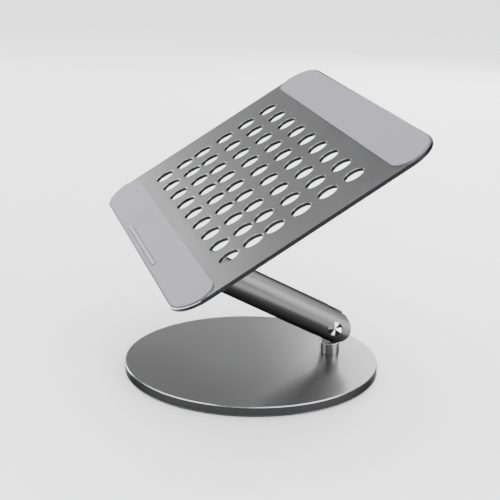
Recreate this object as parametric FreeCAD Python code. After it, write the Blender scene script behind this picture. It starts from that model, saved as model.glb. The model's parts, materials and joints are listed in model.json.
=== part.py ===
# Laptop stand: a perforated tray on a friction-hinged round arm over a round swivelling base.
# Millimetres, +Z up. The origin is the centre of the foot pad's underside, on the desk.
# +X runs across the tray, -Y is the user's side (the tray's low edge), +Y is the post's side.

import FreeCAD
import Part
import math
import os

V = FreeCAD.Vector
X_AXIS = V(1, 0, 0)
Z_AXIS = V(0, 0, 1)
ORIGIN = V(0, 0, 0)

# ---- driving dimensions: base ----
base_radius = 101.5
base_wall = 4.0                 # rim of the base disc around its cavity
base_roof = 2.6                 # base disc above its cavity
base_edge_chamfer = 0.8         # polished chamfer round the top
base_lower_chamfer = 0.4
disc_gap = 1.2                  # desk to the underside of the base disc's rim
foot_pad_thickness = 1.0
foot_pad_inset = 3.0            # foot pad inside the foot plate's edge
foot_plate_thickness = 1.8
foot_plate_clearance = 2.0      # foot plate to the cavity wall
counterweight_thickness = 2.0
counterweight_inner_radius = 40.0
counterweight_clearance = 1.0   # counterweight to the cavity wall
counterweight_screw_circle = 52.0
counterweight_screw_count = 6
counterweight_post_hole = 7.0   # radius of the hole round the post screw's head
glide_ring_width = 6.0
glide_ring_inset = 5.0          # glide ring inside the foot plate's edge
glide_gap = 0.05                # glide ring to the counterweight

# ---- swivel bearing ----
ball_diameter = 2.0
ball_count = 24
ball_circle_radius = 12.0
ball_clearance = 0.01
race_thickness = 0.5
race_width = 5.0
cage_thickness = 0.8
cage_width = 4.0
cage_pocket_clearance = 0.06
shoulder_radius = 5.0
shoulder_clearance = 0.05
swivel_bush_wall = 1.4
swivel_head_radius = 8.4
swivel_head_thickness = 0.7
swivel_head_recess = 0.85       # depth of the head's recess in the foot plate
swivel_head_clearance = 0.6     # round the head
swivel_boss_radius = 7.0
swivel_thread_radius = 2.5
swivel_thread_cover = 1.0       # base disc left above the thread

# ---- post ----
post_diameter = 16.0
post_from_edge = 35.5           # post axis to the base disc's edge
post_spigot_radius = 5.5
post_spigot_depth = 1.4
post_shoulder_chamfer = 0.6
post_screw_radius = 2.5
post_screw_head_radius = 4.4
post_screw_head_height = 2.0
post_screw_hole_clearance = 0.25
post_screw_reach = 8.5          # thread length above the base disc
post_screw_socket = 2.5         # across flats

# ---- arm ----
arm_diameter = 27.4
arm_length = 143.8              # hinge axis to hinge axis
arm_elevation = 28.0            # degrees above the desk at rest
arm_bore_radius = 5.0
lower_hinge_above_base = 24.6
arm_end_clearance = 0.8         # arm's round ends to the post's shoulder and the bracket
fork_bottom_clearance = 2.2     # tongue's side to the bottom of the fork's slot

# ---- both hinges ----
tongue_thickness = 9.0
tongue_half_width = 8.0         # also the radius of the tongue's round end
pin_radius = 3.0
pin_clearance = 0.05
bush_wall = 1.0
washer_thickness = 0.8
washer_radius = 7.4
washer_gap = 0.03               # tongue's face to the friction washer
pin_head_radius = 5.2
pin_head_thickness = 2.7
pin_socket = 4.0                # across flats
pin_socket_depth = 1.6
nut_across_flats = 10.0
nut_thickness = 2.5
spring_outer_radius = 5.2
spring_thickness = 0.45
spring_cone_height = 0.2
cap_radius = 5.85
cap_clearance = 0.1
cap_rim_thickness = 0.6
cap_dome_height = 0.5
cap_sink = 1.8                  # cap's seat below the arm's widest line

# ---- tray ----
tray_width = 318.0
tray_depth = 216.0
tray_thickness = 3.0
tray_tilt = 31.5                # degrees at rest
tray_corner_radius = 26.0
tray_edge_chamfer = 0.5
hole_diameter = 16.0
hole_chamfer = 0.3
column_pitch = 29.5
column_side_margin = 36.0       # least distance from an outer column to the tray's side
row_pitch = 22.2
close_row_pitch = 18.0          # between the last evenly spaced row and the next one
front_row_pitch = 20.3          # between the two rows nearest the user
rear_row_gap = 21.9             # rear pad to the first row
front_row_gap = 19.0            # least distance from the front row to the front pad
hinge_from_front = 26.0         # tray's front edge to the tray hinge

# ---- pads ----
pad_margin = 2.0                # tray's edge to the pads
front_pad_depth = 32.0
rear_pad_depth = 33.5
pad_outer_radius = 22.5
pad_inner_radius = 15.0
pad_end_straight = 0.5          # least straight edge between a pad's two corners
pad_thickness = 1.5
pad_recess = 0.5
pad_clearance = 0.1
grip_length = 104.0
grip_width = 4.0
grip_height = 0.7
grip_from_pad_edge = 4.5        # grip strip's centre line to the front pad's front edge
grip_rib_pitch = 5.0
grip_groove_width = 1.6
grip_groove_depth = 0.4

# ---- tray bracket ----
bracket_width = 64.0
bracket_thickness = 3.0
bracket_front = 17.0            # hinge to the bracket's front end
bracket_rear = 16.0             # hinge to the bracket's rear end
bracket_corner_radius = 5.0
bracket_screw_inset = 6.5

# ---- small countersunk screws, M3 ----
screw_radius = 1.5
screw_head_radius = 2.8
screw_hole_clearance = 0.2
screw_socket = 2.0              # across flats
screw_socket_depth = 1.0
bracket_screw_cover = 0.5       # tray left above the bracket's screws, under the pad recess
counterweight_screw_cover = 0.8

# ---- levels and places worked out from them ----
foot_plate_bottom = foot_pad_thickness
foot_plate_top = foot_plate_bottom + foot_plate_thickness
ball_bottom = foot_plate_top + race_thickness + ball_clearance
ball_top = ball_bottom + ball_diameter
cavity_top = ball_top + ball_clearance + race_thickness
base_top = cavity_top + base_roof
cavity_radius = base_radius - base_wall
foot_plate_radius = cavity_radius - foot_plate_clearance
counterweight_bottom = cavity_top - counterweight_thickness
web_bottom = foot_plate_bottom + swivel_head_recess
shoulder_top = foot_plate_top + race_thickness

post_radius = post_diameter / 2
post_y = base_radius - post_from_edge
arm_radius = arm_diameter / 2
lower_hinge = V(0, post_y, base_top + lower_hinge_above_base)
arm_direction = V(0, -math.cos(math.radians(arm_elevation)), math.sin(math.radians(arm_elevation)))
upper_hinge = lower_hinge + arm_direction * arm_length

bush_radius = pin_radius + pin_clearance + bush_wall
slot_half_width = tongue_thickness / 2 + washer_gap + washer_thickness
slot_depth = tongue_half_width + fork_bottom_clearance
cap_seat = arm_radius - cap_sink
head_seat = cap_seat - pin_head_thickness
nut_seat = cap_seat - nut_thickness
spring_height = spring_thickness + spring_cone_height
spring_seat = nut_seat - 2 * spring_height
counterbore_radius = cap_radius + cap_clearance

tray_front = -tray_depth / 2
tray_rear = tray_depth / 2
hinge_drop = tray_thickness + bracket_thickness + arm_end_clearance + arm_radius
hinge_in_tray = V(0, tray_front + hinge_from_front, -hinge_drop)
front_pad_inner = tray_front + pad_margin + front_pad_depth
rear_pad_inner = tray_rear - pad_margin - rear_pad_depth


# ---- plain shapes ----
def disc_z(radius, z0, z1, x=0.0, y=0.0):
    return Part.makeCylinder(radius, z1 - z0, V(x, y, z0), Z_AXIS)


def ring_z(outer, inner, z0, z1):
    return disc_z(outer, z0, z1).cut(disc_z(inner, z0, z1))


def disc_x(radius, x0, x1):
    low = min(x0, x1)
    return Part.makeCylinder(radius, abs(x1 - x0), V(low, 0, 0), X_AXIS)


def ring_x(outer, inner, x0, x1):
    return disc_x(outer, x0, x1).cut(disc_x(inner, x0, x1))


def box(x0, x1, y0, y1, z0, z1):
    return Part.makeBox(x1 - x0, y1 - y0, z1 - z0, V(x0, y0, z0))


def hexagon(across_flats, height, centre, axis):
    corner = across_flats / math.sqrt(3)
    side = V(0, 1, 0) if axis.x else V(1, 0, 0)
    other = axis.cross(side)
    points = []
    for step in range(7):
        angle = math.radians(60 * step)
        points.append(centre + side * (corner * math.cos(angle)) + other * (corner * math.sin(angle)))
    return Part.Face(Part.makePolygon(points)).extrude(axis * height)


def turned_about_x(outline):
    points = [V(x, radius, 0) for x, radius in outline]
    face = Part.Face(Part.makePolygon(points + points[:1]))
    return face.revolve(ORIGIN, X_AXIS, 360)


def countersunk_form(x, y, head_z, tip_z, head_radius, thread_radius):
    """The outer form of a flat-headed screw that points up, with its head's face at head_z."""
    cone_height = head_radius - thread_radius
    head = Part.makeCone(head_radius, thread_radius, cone_height, V(x, y, head_z), Z_AXIS)
    return head.fuse(disc_z(thread_radius, head_z + cone_height, tip_z, x, y)).removeSplitter()


def countersunk_screw(x, y, head_z, tip_z):
    form = countersunk_form(x, y, head_z, tip_z, screw_head_radius, screw_radius)
    return form.cut(hexagon(screw_socket, screw_socket_depth, V(x, y, head_z), Z_AXIS))


def level_edges(shape, z):
    """The edges of a shape that lie flat at height z."""
    return [edge for edge in shape.Edges if abs(edge.BoundBox.ZMin - z) + abs(edge.BoundBox.ZMax - z) < 1e-3]


def rounded_plate(half_width, front, rear, front_radius, rear_radius, z0, z1):
    """A flat plate between y = front and y = rear, with its own radius at each pair of corners."""
    corners = (
        (half_width - rear_radius, rear - rear_radius, rear_radius, 0),
        (-half_width + rear_radius, rear - rear_radius, rear_radius, 90),
        (-half_width + front_radius, front + front_radius, front_radius, 180),
        (half_width - front_radius, front + front_radius, front_radius, 270),
    )
    arcs = []
    for x, y, radius, start in corners:
        points = []
        for degrees in (start, start + 45, start + 90):
            angle = math.radians(degrees)
            points.append(V(x + radius * math.cos(angle), y + radius * math.sin(angle), z0))
        arcs.append(points)
    edges = []
    for index, points in enumerate(arcs):
        following = arcs[(index + 1) % len(arcs)][0]
        edges.append(Part.Arc(*points).toShape())
        if points[2].distanceToPoint(following) > 1e-6:
            edges.append(Part.LineSegment(points[2], following).toShape())
    return Part.Face(Part.Wire(edges)).extrude(V(0, 0, z1 - z0))


# ---- places ----
def at_point(shape, point):
    placed = shape.copy()
    placed.translate(point)
    return placed


def on_arm(shape, along=0.0):
    """Place a shape drawn round the X axis with the arm running to -Y; along is along the arm."""
    placed = at_point(shape, V(0, -along, 0))
    placed.rotate(ORIGIN, X_AXIS, -arm_elevation)
    placed.translate(lower_hinge)
    return placed


def on_tray(shape):
    """Place a shape drawn flat, with the origin at the middle of the tray's top face."""
    placed = at_point(shape, hinge_in_tray * -1)
    placed.rotate(ORIGIN, X_AXIS, tray_tilt)
    placed.translate(upper_hinge)
    return placed


# ---- foot and swivel bearing ----
def foot_pad():
    return disc_z(foot_plate_radius - foot_pad_inset, 0, foot_pad_thickness)


def foot_plate():
    plate = disc_z(foot_plate_radius, foot_plate_bottom, foot_plate_top)
    recess = disc_z(swivel_head_radius + swivel_head_clearance, foot_plate_bottom, web_bottom)
    bush_hole = disc_z(shoulder_radius + shoulder_clearance + swivel_bush_wall, web_bottom, foot_plate_top)
    return plate.cut(recess).cut(bush_hole)


def swivel_bush():
    inner = shoulder_radius + shoulder_clearance
    return ring_z(inner + swivel_bush_wall, inner, web_bottom, foot_plate_top)


def race(bottom):
    half = race_width / 2
    return ring_z(ball_circle_radius + half, ball_circle_radius - half, bottom, bottom + race_thickness)


def ball_places():
    middle = (ball_bottom + ball_top) / 2
    for index in range(ball_count):
        angle = math.radians(360 * index / ball_count)
        yield V(ball_circle_radius * math.cos(angle), ball_circle_radius * math.sin(angle), middle)


def swivel_balls():
    return Part.makeCompound([Part.makeSphere(ball_diameter / 2, place) for place in ball_places()])


def ball_cage():
    half = cage_width / 2
    middle = (ball_bottom + ball_top) / 2
    bottom = middle - cage_thickness / 2
    top = middle + cage_thickness / 2
    cage = ring_z(ball_circle_radius + half, ball_circle_radius - half, bottom, top)
    pocket_radius = ball_diameter / 2 + cage_pocket_clearance
    pockets = [disc_z(pocket_radius, bottom, top, place.x, place.y) for place in ball_places()]
    return cage.cut(Part.makeCompound(pockets))


def glide_ring():
    outer = foot_plate_radius - glide_ring_inset
    return ring_z(outer, outer - glide_ring_width, foot_plate_top, counterweight_bottom - glide_gap)


# ---- base disc and what is fixed to it ----
def counterweight_screw_places():
    for index in range(counterweight_screw_count):
        angle = math.radians(360 * index / counterweight_screw_count)
        yield counterweight_screw_circle * math.cos(angle), counterweight_screw_circle * math.sin(angle)


def base_disc():
    disc = disc_z(base_radius, disc_gap, base_top)
    disc = disc.makeChamfer(base_edge_chamfer, level_edges(disc, base_top))
    disc = disc.makeChamfer(base_lower_chamfer, level_edges(disc, disc_gap))
    disc = disc.cut(disc_z(cavity_radius, disc_gap, cavity_top))
    disc = disc.fuse(disc_z(swivel_boss_radius, shoulder_top, cavity_top))
    disc = disc.cut(disc_z(swivel_thread_radius, shoulder_top, base_top - swivel_thread_cover))
    disc = disc.cut(disc_z(post_spigot_radius, base_top - post_spigot_depth, base_top, 0, post_y))
    post_hole = post_screw_radius + post_screw_hole_clearance
    disc = disc.cut(disc_z(post_hole, cavity_top, base_top, 0, post_y))
    for x, y in counterweight_screw_places():
        disc = disc.cut(disc_z(screw_radius, cavity_top, base_top - counterweight_screw_cover, x, y))
    return disc.removeSplitter()


def swivel_screw():
    head = disc_z(swivel_head_radius, web_bottom - shoulder_clearance - swivel_head_thickness,
                  web_bottom - shoulder_clearance)
    shoulder = disc_z(shoulder_radius, web_bottom - shoulder_clearance, shoulder_top)
    thread = disc_z(swivel_thread_radius, shoulder_top, base_top - swivel_thread_cover)
    return head.fuse([shoulder, thread]).removeSplitter()


def counterweight():
    outer = cavity_radius - counterweight_clearance
    ring = ring_z(outer, counterweight_inner_radius, counterweight_bottom, cavity_top)
    ring = ring.cut(disc_z(counterweight_post_hole, counterweight_bottom, cavity_top, 0, post_y))
    head = screw_head_radius + screw_hole_clearance
    thread = screw_radius + screw_hole_clearance
    for x, y in counterweight_screw_places():
        ring = ring.cut(countersunk_form(x, y, counterweight_bottom, cavity_top, head, thread))
    return ring


def counterweight_screws():
    tip = base_top - counterweight_screw_cover
    screws = []
    for x, y in counterweight_screw_places():
        screws.append(countersunk_screw(x, y, counterweight_bottom, tip))
    return Part.makeCompound(screws)


def tongue(foot_z):
    """A flat tongue round the X axis, whose round end is at the axis and whose root is at foot_z."""
    half = tongue_thickness / 2
    low, high = sorted((foot_z, 0.0))
    blade = box(-half, half, -tongue_half_width, tongue_half_width, low, high)
    blade = blade.fuse(disc_x(tongue_half_width, -half, half))
    return blade.cut(disc_x(bush_radius, -half, half)).removeSplitter()


def post():
    shoulder = lower_hinge.z - arm_radius - arm_end_clearance
    shank = disc_z(post_radius, base_top, shoulder, 0, post_y)
    shank = shank.makeChamfer(post_shoulder_chamfer, level_edges(shank, shoulder))
    spigot = disc_z(post_spigot_radius, base_top - post_spigot_depth, base_top, 0, post_y)
    blade = at_point(tongue(shoulder - lower_hinge.z - post_shoulder_chamfer), lower_hinge)
    body = shank.fuse([spigot, blade])
    bore = disc_z(post_screw_radius, base_top - post_spigot_depth, base_top + post_screw_reach, 0, post_y)
    return body.cut(bore).removeSplitter()


def post_screw():
    head = disc_z(post_screw_head_radius, cavity_top - post_screw_head_height, cavity_top, 0, post_y)
    thread = disc_z(post_screw_radius, cavity_top, base_top + post_screw_reach, 0, post_y)
    socket_foot = V(0, post_y, cavity_top - post_screw_head_height)
    socket = hexagon(post_screw_socket, post_screw_head_height / 2, socket_foot, Z_AXIS)
    return head.fuse(thread).removeSplitter().cut(socket)


# ---- arm ----
def arm():
    """Drawn along -Y from the lower hinge's axis; its ends are round about each hinge's axis."""
    ends = (0.0, -arm_length)
    bar = Part.makeCylinder(arm_radius, arm_length + 2 * arm_radius, V(0, arm_radius, 0), V(0, -1, 0))
    envelope = box(-arm_radius, arm_radius, -arm_length, 0, -arm_radius, arm_radius)
    for y in ends:
        envelope = envelope.fuse(at_point(disc_x(arm_radius, -arm_radius, arm_radius), V(0, y, 0)))
    body = bar.common(envelope.removeSplitter())
    bore = Part.makeCylinder(arm_bore_radius, arm_length, ORIGIN, V(0, -1, 0))
    body = body.cut(bore)
    for y, outward in zip(ends, (1, -1)):
        low, high = sorted((y - outward * slot_depth, y + outward * 2 * arm_radius))
        body = body.cut(box(-slot_half_width, slot_half_width, low, high, -arm_radius, arm_radius))
        holes = disc_x(pin_radius + pin_clearance, -arm_radius, arm_radius)
        holes = holes.fuse([
            disc_x(counterbore_radius, head_seat, arm_radius),
            disc_x(counterbore_radius, -spring_seat, -arm_radius),
        ])
        body = body.cut(at_point(holes, V(0, y, 0)))
    return body


def hinge_pin():
    head = disc_x(pin_head_radius, head_seat, cap_seat)
    shaft = disc_x(pin_radius, -cap_seat, head_seat)
    socket_foot = V(cap_seat - pin_socket_depth, 0, 0)
    return head.fuse(shaft).removeSplitter().cut(hexagon(pin_socket, pin_socket_depth, socket_foot, X_AXIS))


def hinge_nut():
    nut = hexagon(nut_across_flats, nut_thickness, V(-cap_seat, 0, 0), X_AXIS)
    return nut.cut(disc_x(pin_radius, -cap_seat, -nut_seat))


def disc_springs():
    """Two coned washers, mouth to mouth, between the arm's far cheek and the nut."""
    inner = pin_radius + pin_clearance
    first = -spring_seat
    second = first - spring_height
    pair = [
        turned_about_x((
            (first, spring_outer_radius),
            (first - spring_thickness, spring_outer_radius),
            (second, inner),
            (first - spring_cone_height, inner),
        )),
        turned_about_x((
            (second, inner),
            (second - spring_thickness, inner),
            (second - spring_height, spring_outer_radius),
            (second - spring_cone_height, spring_outer_radius),
        )),
    ]
    return Part.makeCompound(pair)


def friction_washers():
    inner = pin_radius + pin_clearance
    outer_face = slot_half_width
    inner_face = slot_half_width - washer_thickness
    return Part.makeCompound([
        ring_x(washer_radius, inner, inner_face, outer_face),
        ring_x(washer_radius, inner, -outer_face, -inner_face),
    ])


def pin_caps():
    """A shallow polished cap over the pin's head and one over its nut."""
    caps = []
    for side in (1, -1):
        rim = side * (cap_seat + cap_rim_thickness)
        crown = side * (cap_seat + cap_rim_thickness + cap_dome_height)
        profile = ((side * cap_seat, 0), (side * cap_seat, cap_radius), (rim, cap_radius), (crown, 0))
        caps.append(turned_about_x(profile))
    return Part.makeCompound(caps)


def hinge_bush():
    return ring_x(bush_radius, pin_radius + pin_clearance, -tongue_thickness / 2, tongue_thickness / 2)


# ---- tray ----
def hole_places():
    span = tray_width - 2 * column_side_margin
    columns = 1 + math.floor(span / column_pitch)
    first_row = rear_pad_inner - rear_row_gap
    last_row = front_pad_inner + front_row_gap
    even_gaps = math.floor((first_row - last_row - close_row_pitch - front_row_pitch) / row_pitch)
    rows = [first_row - row_pitch * index for index in range(even_gaps + 1)]
    rows.append(rows[-1] - close_row_pitch)
    rows.append(rows[-1] - front_row_pitch)
    for y in rows:
        for column in range(columns):
            yield (column - (columns - 1) / 2) * column_pitch, y


def pad_shape(front, rear, is_front, grow, z0, z1):
    """A pad between y = front and y = rear; its outer corners are wide and its inner ones small."""
    inner_radius = pad_inner_radius + grow
    outer_radius = min(pad_outer_radius, rear - front - pad_inner_radius - pad_end_straight) + grow
    radii = (outer_radius, inner_radius) if is_front else (inner_radius, outer_radius)
    half_width = tray_width / 2 - pad_margin + grow
    return rounded_plate(half_width, front - grow, rear + grow, radii[0], radii[1], z0, z1)


def front_pad_shape(grow, z0, z1):
    return pad_shape(tray_front + pad_margin, front_pad_inner, True, grow, z0, z1)


def rear_pad_shape(grow, z0, z1):
    return pad_shape(rear_pad_inner, tray_rear - pad_margin, False, grow, z0, z1)


def bracket_screw_places():
    hinge_y = hinge_in_tray.y
    for x in (-1, 1):
        for y in (hinge_y - bracket_front + bracket_screw_inset, hinge_y + bracket_rear - bracket_screw_inset):
            yield x * (bracket_width / 2 - bracket_screw_inset), y


def tray():
    plate = rounded_plate(tray_width / 2, tray_front, tray_rear, tray_corner_radius, tray_corner_radius,
                          -tray_thickness, 0)
    outline = level_edges(plate, -tray_thickness) + level_edges(plate, 0)
    plate = plate.makeChamfer(tray_edge_chamfer, outline)
    holes = []
    radius = hole_diameter / 2
    for x, y in hole_places():
        hole = disc_z(radius, -tray_thickness, 0, x, y)
        top = Part.makeCone(radius, radius + hole_chamfer, hole_chamfer, V(x, y, -hole_chamfer), Z_AXIS)
        bottom = Part.makeCone(radius + hole_chamfer, radius, hole_chamfer, V(x, y, -tray_thickness), Z_AXIS)
        holes.append(hole.fuse([top, bottom]).removeSplitter())
    plate = plate.cut(Part.makeCompound(holes))
    plate = plate.cut(front_pad_shape(pad_clearance, -pad_recess, 0))
    plate = plate.cut(rear_pad_shape(pad_clearance, -pad_recess, 0))
    for x, y in bracket_screw_places():
        plate = plate.cut(disc_z(screw_radius, -tray_thickness, -pad_recess - bracket_screw_cover, x, y))
    return plate


def front_pad():
    return front_pad_shape(0, -pad_recess, pad_thickness - pad_recess)


def rear_pad():
    return rear_pad_shape(0, -pad_recess, pad_thickness - pad_recess)


def grip_strip():
    """A low ribbed lip on the front pad that stops a laptop from sliding down."""
    bottom = pad_thickness - pad_recess
    top = bottom + grip_height
    half = grip_width / 2
    middle = tray_front + pad_margin + grip_from_pad_edge
    strip = rounded_plate(grip_length / 2, middle - half, middle + half, half, half, bottom, top)
    ribs = math.floor((grip_length - grip_width) / grip_rib_pitch)
    for index in range(ribs + 1):
        x = (index - ribs / 2) * grip_rib_pitch
        groove = box(x - grip_groove_width / 2, x + grip_groove_width / 2, middle - grip_width,
                     middle + grip_width, top - grip_groove_depth, top)
        strip = strip.cut(groove)
    return strip


def tray_bracket():
    hinge_y = hinge_in_tray.y
    bottom = -tray_thickness - bracket_thickness
    plate = rounded_plate(bracket_width / 2, hinge_y - bracket_front, hinge_y + bracket_rear,
                          bracket_corner_radius, bracket_corner_radius, bottom, -tray_thickness)
    lug = at_point(tongue(hinge_drop - tray_thickness - bracket_thickness / 2), hinge_in_tray)
    body = plate.fuse(lug).removeSplitter()
    head = screw_head_radius + screw_hole_clearance
    thread = screw_radius + screw_hole_clearance
    for x, y in bracket_screw_places():
        body = body.cut(countersunk_form(x, y, bottom, -tray_thickness, head, thread))
    return body


def bracket_screws():
    bottom = -tray_thickness - bracket_thickness
    tip = -pad_recess - bracket_screw_cover
    screws = []
    for x, y in bracket_screw_places():
        screws.append(countersunk_screw(x, y, bottom, tip))
    return Part.makeCompound(screws)


def nodes():
    yield "foot_pad", foot_pad()
    yield "foot_plate", foot_plate()
    yield "swivel_bush", swivel_bush()
    yield "lower_race", race(foot_plate_top)
    yield "swivel_balls", swivel_balls()
    yield "ball_cage", ball_cage()
    yield "glide_ring", glide_ring()
    yield "base_disc", base_disc()
    yield "upper_race", race(cavity_top - race_thickness)
    yield "swivel_screw", swivel_screw()
    yield "counterweight", counterweight()
    yield "counterweight_screws", counterweight_screws()
    yield "post", post()
    yield "post_screw", post_screw()
    yield "post_bush", at_point(hinge_bush(), lower_hinge)
    yield "arm", on_arm(arm())
    for name, along in (("lower", 0.0), ("upper", arm_length)):
        yield name + "_hinge_pin", on_arm(hinge_pin(), along)
        yield name + "_hinge_nut", on_arm(hinge_nut(), along)
        yield name + "_disc_springs", on_arm(disc_springs(), along)
        yield name + "_friction_washers", on_arm(friction_washers(), along)
        yield name + "_pin_caps", on_arm(pin_caps(), along)
    yield "tray_bracket", on_tray(tray_bracket())
    yield "bracket_bush", on_tray(at_point(hinge_bush(), hinge_in_tray))
    yield "bracket_screws", on_tray(bracket_screws())
    yield "tray", on_tray(tray())
    yield "front_pad", on_tray(front_pad())
    yield "rear_pad", on_tray(rear_pad())
    yield "grip_strip", on_tray(grip_strip())


def main():
    os.makedirs("parts", exist_ok=True)
    for node, shape in nodes():
        shape.exportStep("parts/" + node + ".step")
        print(node, "solids", len(shape.Solids), "volume", round(shape.Volume, 1), "valid", shape.isValid())
    print("lower hinge", lower_hinge, "upper hinge", upper_hinge)


main()
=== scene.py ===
"""Looks of a laptop stand: perforated tray, forked arm, post and swivelling base, with its stage."""

import json
import math

import bmesh
import bpy
from bpy.props import FloatProperty, FloatVectorProperty, IntProperty, PointerProperty
from bpy.types import Operator, Panel, PropertyGroup
from mathutils import Matrix, Vector


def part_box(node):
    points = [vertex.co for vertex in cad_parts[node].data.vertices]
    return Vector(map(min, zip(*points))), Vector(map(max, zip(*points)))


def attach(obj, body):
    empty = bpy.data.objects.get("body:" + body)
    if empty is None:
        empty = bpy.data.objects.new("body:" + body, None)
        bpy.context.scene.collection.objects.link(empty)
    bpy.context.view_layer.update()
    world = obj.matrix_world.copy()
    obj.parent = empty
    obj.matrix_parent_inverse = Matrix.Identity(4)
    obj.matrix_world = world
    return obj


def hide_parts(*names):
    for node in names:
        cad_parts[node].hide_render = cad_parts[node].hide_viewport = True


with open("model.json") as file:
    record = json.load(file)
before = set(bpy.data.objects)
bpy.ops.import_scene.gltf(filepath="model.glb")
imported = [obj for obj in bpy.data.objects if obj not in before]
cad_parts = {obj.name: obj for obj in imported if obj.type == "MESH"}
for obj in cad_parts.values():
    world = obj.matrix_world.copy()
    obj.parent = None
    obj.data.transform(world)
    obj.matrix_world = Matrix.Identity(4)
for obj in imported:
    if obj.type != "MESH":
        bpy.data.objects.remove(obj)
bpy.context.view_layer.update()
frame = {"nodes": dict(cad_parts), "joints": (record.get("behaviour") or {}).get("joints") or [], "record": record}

bl_info = {
    "name": "Laptop Stand",
    "version": (1, 0, 0),
    "blender": (4, 5, 0),
    "location": "View3D > Sidebar > Laptop Stand",
    "description": "Builds a laptop stand's visible pieces, finishes and stage around its frame",
    "category": "Add Mesh",
}

MM = 0.001
SAME_PLACE = 1e-6           # points and heights closer than this are the same
NOISE_RANGE = (0.3, 0.7)    # where nearly all of a noise texture's values lie
WAVE_BANDS = 3.18           # bands that a wave texture draws to a metre at scale 1
PIN_BORE = 4.05 * MM        # radius of the bores in the tongues, round their bushes
TONGUE_EASE = 0.3 * MM      # rounding of tongue and bracket edges
CAP_SINK = 1.8 * MM         # depth of a cap's seat below the arm's widest line
END_GAP = 0.8 * MM          # gap from the arm's round end to the post's shoulder

# ---- places read from the frame ----
JOINTS = {joint["name"]: joint for joint in frame["joints"]}
MOUNTS = {mount["name"]: mount for mount in frame["record"]["mounts"]}
LOWER_HINGE = Vector(JOINTS["arm_hinge"]["pos_m"])
UPPER_HINGE = Vector(JOINTS["tray_hinge"]["pos_m"])
ARM_LENGTH = (UPPER_HINGE - LOWER_HINGE).length
TRAY_NORMAL = Vector(MOUNTS["laptop_rest"]["axis"]).normalized()
ACROSS = Vector((1, 0, 0))
BASE_LOW, BASE_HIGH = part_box("base_disc")
POST_LOW, POST_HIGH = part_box("post")
FOOT_LOW, FOOT_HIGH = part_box("foot_pad")
TRAY_LOW, TRAY_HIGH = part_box("tray")


def local_frame(origin, depth_axis):
    """A frame at origin with X across the stand and Y along depth_axis."""
    rows = Matrix((ACROSS, depth_axis, ACROSS.cross(depth_axis))).transposed().to_4x4()
    return Matrix.Translation(origin) @ rows


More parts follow.
